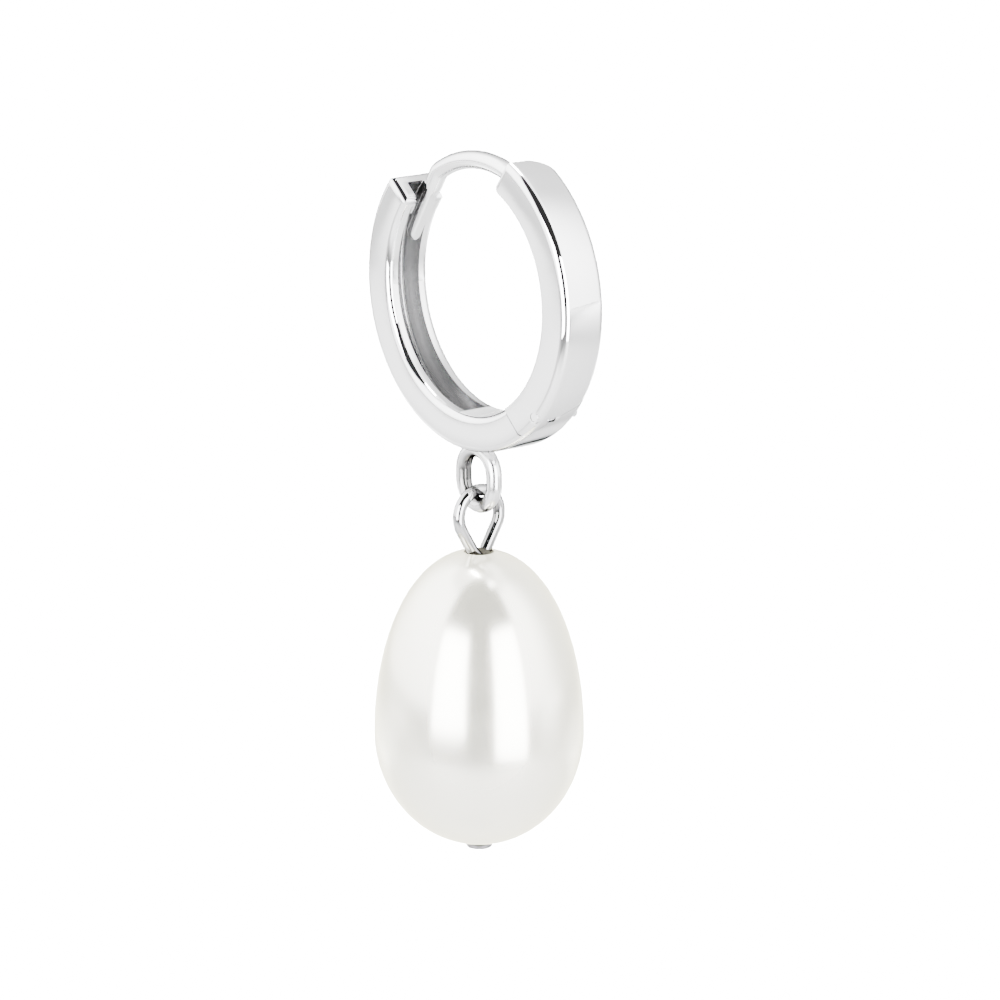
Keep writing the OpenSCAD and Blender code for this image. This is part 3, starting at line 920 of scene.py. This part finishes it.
head_edge += [(HEAD_D / 2, head_top - HEAD_CHAMFER), (HEAD_D / 2 - HEAD_CHAMFER, head_top)]
head = turned(head_edge, drop_line)
pin = solder_on(pin_wire, head)
print("head pin:", span(pin), len(pin.polygons), "faces")

# %% [markdown]
# The pearl is egg-shaped: half an ellipse below its widest place and a longer, slightly pointed curve
# above. A grid is bent to that rule in a tree. One direction of the grid becomes the turn round the axis,
# the other the height. Faint dents from noise keep it from looking machined. The tree also drills the
# hole, with its small mouth at the top.

# %% Tree for the pearl
MOUTH_DEPTH, MOUTH_IN, MOUTH_TAPER, DENT_SCALE = 0.54, 0.5, 0.34, 0.22

pearl_tree, given, out = new_tree("pearl", {
    "Diameter": ("Float", PEARL_D),
    "Upper Height": ("Float", PEARL_UPPER),
    "Lower Depth": ("Float", PEARL_LOWER),
    "Point": ("Float", 0.9),
    "Hole": ("Float", 0.63),
    "Mouth": ("Float", 1.34),
    "Dents": ("Float", 0.03),
    "Seed": ("Float", 3.0),
    "Turns": ("Int", 161),
    "Rows": ("Int", 121),
    "Finish": ("Material", None),
})


def step(operation, *values):
    """One arithmetic step in the pearl's tree."""
    return math_node(pearl_tree, operation, *values)


grid = add_node(pearl_tree, "GeometryNodeMeshGrid", {"Size X": 1.0, "Size Y": 1.0})
place = add_node(pearl_tree, "GeometryNodeInputPosition")
axes = add_node(pearl_tree, "ShaderNodeSeparateXYZ")
around = step("MULTIPLY", axes.outputs["X"], 2 * math.pi)
rise = step("MULTIPLY", axes.outputs["Y"], math.pi)
height = step("SINE", rise)
girth = step("MAXIMUM", step("COSINE", rise), 0.0)
above = step("GREATER_THAN", height, 0.0)
reach = mixed(pearl_tree, "FLOAT", above, given["Lower Depth"], given["Upper Height"])
power = mixed(pearl_tree, "FLOAT", above, 1.0, given["Point"])
radius = step("MULTIPLY", step("MULTIPLY", given["Diameter"], 0.5), step("POWER", girth, power))
bent = add_node(pearl_tree, "ShaderNodeCombineXYZ")
shape = add_node(pearl_tree, "GeometryNodeSetPosition")
merged = add_node(pearl_tree, "GeometryNodeMergeByDistance", {"Distance": 1e-4})
dents = add_node(pearl_tree, "ShaderNodeTexNoise", {"Scale": DENT_SCALE, "Detail": 1.0}, noise_dimensions="4D")
dent_depth = step("MULTIPLY", step("SUBTRACT", dents.outputs["Fac"], 1.0), given["Dents"])
normal = add_node(pearl_tree, "GeometryNodeInputNormal")
press_in = add_node(pearl_tree, "ShaderNodeVectorMath", operation="SCALE")
dented = add_node(pearl_tree, "GeometryNodeSetPosition")
drill = add_node(pearl_tree, "GeometryNodeMeshCylinder", {"Vertices": 64, "Depth": 40.0})
mouth = add_node(pearl_tree, "GeometryNodeMeshCone", {"Vertices": 64, "Depth": MOUTH_DEPTH})
mouth_up = add_node(pearl_tree, "GeometryNodeTransform")
mouth_place = add_node(pearl_tree, "ShaderNodeCombineXYZ")
drilled = add_node(pearl_tree, "GeometryNodeMeshBoolean", operation="DIFFERENCE", solver="MANIFOLD")
feed(
    pearl_tree,
    (given["Turns"], grid.inputs["Vertices X"]),
    (given["Rows"], grid.inputs["Vertices Y"]),
    (place.outputs[0], axes.inputs[0]),
    (step("MULTIPLY", radius, step("COSINE", around)), bent.inputs["X"]),
    (step("MULTIPLY", radius, step("SINE", around)), bent.inputs["Y"]),
    (step("MULTIPLY", height, reach), bent.inputs["Z"]),
    (grid.outputs[0], shape.inputs["Geometry"]),
    (bent.outputs[0], shape.inputs["Position"]),
    (shape.outputs[0], merged.inputs["Geometry"]),
    (given["Seed"], dents.inputs["W"]),
    (normal.outputs[0], press_in.inputs[0]),
    (dent_depth, input_of(press_in, "Scale")),
    (merged.outputs[0], dented.inputs["Geometry"]),
    (press_in.outputs[0], dented.inputs["Offset"]),
    (step("MULTIPLY", given["Hole"], 0.5), drill.inputs["Radius"]),
    (step("MULTIPLY", given["Mouth"], MOUTH_TAPER), mouth.inputs["Radius Bottom"]),
    (step("MULTIPLY", given["Mouth"], 0.5), mouth.inputs["Radius Top"]),
    (step("SUBTRACT", given["Upper Height"], MOUTH_IN), mouth_place.inputs["Z"]),
    (mouth.outputs[0], mouth_up.inputs["Geometry"]),
    (mouth_place.outputs[0], mouth_up.inputs["Translation"]),
    (dented.outputs[0], drilled.inputs[0]),
    (drill.outputs[0], drilled.inputs[1]),
    (mouth_up.outputs[0], drilled.inputs[1]),
)
end_tree(pearl_tree, drilled.outputs[0], given, out)
pearl = grow(pearl_tree, {"Finish": nacre})
pearl.transform(Matrix.Translation((DROP_X, 0, PEARL_MID_Z)))
print("pearl:", span(pearl), len(pearl.polygons), "faces")

# %% [markdown]
# A buff is a soft wheel, and it shows where it could not go. So each piece now gets its marks. The channel
# and the slot are raw from the file: rougher, with painted shade in their darker streaked tone. The ring gets
# more than half of that. The inside of the hinge block is pickled, and the pearl is raw in its hole, painted
# dark as shade. Painted shade darkens the slot, the channel's near wall and the inner sides of the wires.

# %% Marks for the finishes
FLAT_RIM, RING_RAW, HOLE_MOUTH_R = 0.03, 0.6, 0.62
# Strengths of the painted shade: inside the ring, inside the loop, on the stem, in the slot and on the
# channel's near wall.
RING_DARK, LOOP_DARK, STEM_DARK, SLOT_DARK, WALL_DARK = 0.85, 0.65, 0.5, 0.5, 0.45


def hoop_turn(place):
    """Where a place of the flat hoop lies along the band, in degrees."""
    return math.degrees(math.atan2(place.y, place.x)) % 360


def hoop_rawness(place):
    """Share of the raw finish and its painted shade: one in the channel and the slot, less on the ring of drawn
    wire, else nothing.
    """
    away = place.xy.length
    in_channel = BACK_END_DEG + 1.5 < hoop_turn(place) < CHANNEL_TO + 1 and abs(place.z) < CHANNEL_W / 2 + 0.005
    if in_channel and INNER_R + 0.02 < away < CHANNEL_R + 0.02:
        return 1.0
    return RING_RAW if away > HOOP_R + 0.22 else 0.0


def hoop_pickled(place):
    """One on the inner face of the hinge block, else nothing."""
    return float(CHANNEL_TO < hoop_turn(place) < 360 + HINGE_DEG + 5 and place.xy.length < INNER_R + FLAT_RIM)


def pearl_rawness(place):
    """Share of the hole's raw finish and its painted shade: one in the drilled hole and its mouth, else
    nothing.
    """
    return float(math.hypot(place.x - DROP_X, place.y) < HOLE_MOUTH_R)


def facing_in(place, normal, low, high):
    """How far a wire's side faces the inside of its bend, whose centres run from low to high."""
    inward = Vector((-place.x, max(low, min(high, place.y)) - place.y, 0))
    return soft_step(normal.dot(inward.normalized()), 0.05, 0.7)


def hoop_tarnish(place, normal):
    """Painted shade in the slot, along the near wall of the channel and inside the ring."""
    if place.y < -HOOP_R:
        local = place - Vector((DROP_X, 0, 0))
        return RING_DARK * facing_in(local, normal, RING_BOTTOM_Z - HOOP_Z, RING_TOP_Z - HOOP_Z)
    if hoop_rawness(place) < 1:
        return 0.0
    return SLOT_DARK if hoop_turn(place) < CHANNEL_FROM else WALL_DARK * soft_step(place.z, -0.2, 0.5)


def loop_tarnish(place, normal):
    """Painted shade inside the loop of the head pin, and evenly on everything below the loop: the stem and the
    head.
    """
    if place.z <= LOOP_BASE_Z:
        return STEM_DARK
    sideways = Vector((place.y, place.z, 0)), Vector((normal.y, normal.z, 0))
    return LOOP_DARK * facing_in(*sideways, LOOP_Z - 9, LOOP_Z)


def mark_faces(mesh, name, amount):
    """Writes on every face how raw, with its painted shade, or how pickled it was left."""
    mark = mesh.attributes.new(name, "FLOAT", "FACE")
    for face, value in zip(mesh.polygons, mark.data):
        value.value = amount(face.center)


def mark_corners(mesh, name, amount):
    """Writes on every corner how much painted shade it gets."""
    mark = mesh.attributes.new(name, "FLOAT", "POINT")
    for vertex, value in zip(mesh.vertices, mark.data):
        value.value = amount(vertex.co, vertex.normal)


# How dark the painted shade is on the inside of the ring.
ring_inside = Vector((DROP_X, RING_WIRE_Z - HOOP_Z + RING_WIRE_D / 2, 0))
print("tarnish inside the ring:", round(hoop_tarnish(ring_inside, Vector((0, 1, 0))), 2))

# %% [markdown]
# Last the finished pieces are set in place. The hoop pieces stand up out of the flat drawing, and all
# become metres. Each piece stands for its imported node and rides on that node's body, so that it moves
# when the hoop opens, the drop swings or the pearl turns.

# %% Finish the pieces and hand them over
SHARP = math.radians(30)


def set_in_place(
    name, mesh, finish, body, node,
    flat=True, keep_weights=True, raw=None, pickled=None, tarnish=None,
):
    """Turns a mesh into a finished piece that rides on its body."""
    mesh = outward(mesh)
    for mark, amount in (("raw", raw), ("pickled", pickled)):
        if amount:
            mark_faces(mesh, mark, amount)
    if tarnish:
        mark_corners(mesh, "tarnish", tarnish)
    if flat:
        mesh.transform(stand_up)
    mesh.materials.clear()
    mesh.materials.append(finish)
    work = bmesh.new()
    work.from_mesh(mesh)
    for face in work.faces:
        face.smooth = True
        face.material_index = 0
    for line in work.edges:
        line.smooth = line.calc_face_angle(0.0) < SHARP
    work.to_mesh(mesh)
    work.free()
    mesh.transform(Matrix.Scale(MM, 4))
    thing = new_object(mesh, name)
    if keep_weights:
        thing.modifiers.new("flat_sides", "WEIGHTED_NORMAL").keep_sharp = True
        thing = new_object(bake(thing), name)
    thing.name = name
    thing.data.name = name
    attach(thing, body)
    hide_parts(node)
    loose = sum(1 for e in thing.data.edges if e.is_loose)
    print(name, "has", len(thing.data.polygons), "faces,", loose, "loose edges")


pin_rod = cone(PIN_D / 2, PIN_D / 2, -HALF_WIDTH + 0.02, HALF_WIDTH - 0.02, at_pin, sides=64)
set_in_place("hoop_front", front, silver, "hoop_front", "front_half")
# The back half and the head pin carry painted shade in their marks; the pearl carries it in its hole.
set_in_place(
    "hoop_back", back, silver, "hoop_back", "back_half",
    raw=hoop_rawness, pickled=hoop_pickled, tarnish=hoop_tarnish,
)
set_in_place("hinge_rod", pin_rod, silver, "hoop_front", "hinge_pin")
set_in_place(
    "pearl_wire", pin, wire_silver, "drop_wire", "head_pin",
    flat=False, tarnish=loop_tarnish,
)
set_in_place(
    "egg_pearl", pearl, nacre, "drop_pearl", "pearl",
    flat=False, keep_weights=False, raw=pearl_rawness,
)
